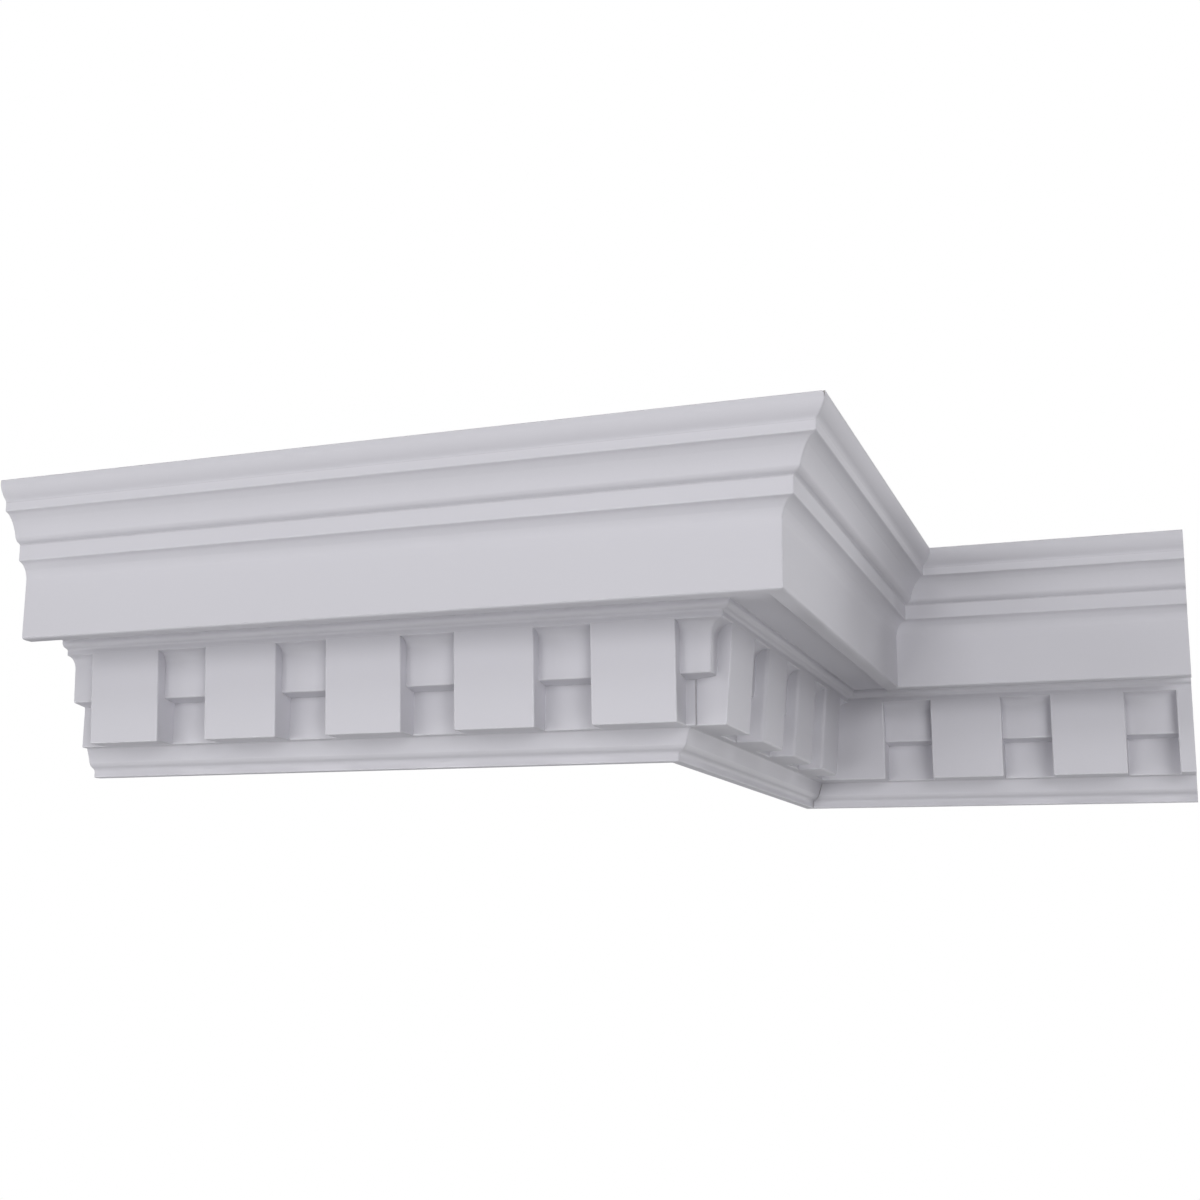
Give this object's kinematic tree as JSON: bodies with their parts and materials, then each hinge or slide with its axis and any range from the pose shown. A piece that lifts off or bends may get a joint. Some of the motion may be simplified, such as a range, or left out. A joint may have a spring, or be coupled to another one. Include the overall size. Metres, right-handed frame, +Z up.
{
  "type": "cornice moulding length",
  "caption": "Dentil cornice moulding with a cyma crown, tall corona and drip lip, carried round an outside corner and an inside corner; fixes to wall and ceiling.",
  "frame": {"origin": "middle of the bounding box in plan, at the foot of the moulding", "axes": "+Z up to the ceiling face, +X to the right along the two parallel lengths, -Y out from the wall towards the viewer"},
  "size_m": [0.7836, 0.5446, 0.2],
  "materials": {
    "primer": "smooth matt primer over moulded polyurethane"
  },
  "bodies": {
    "root": {"front_length": "primer", "return_length": "primer", "set_back_length": "primer"}
  },
  "joints": []
}
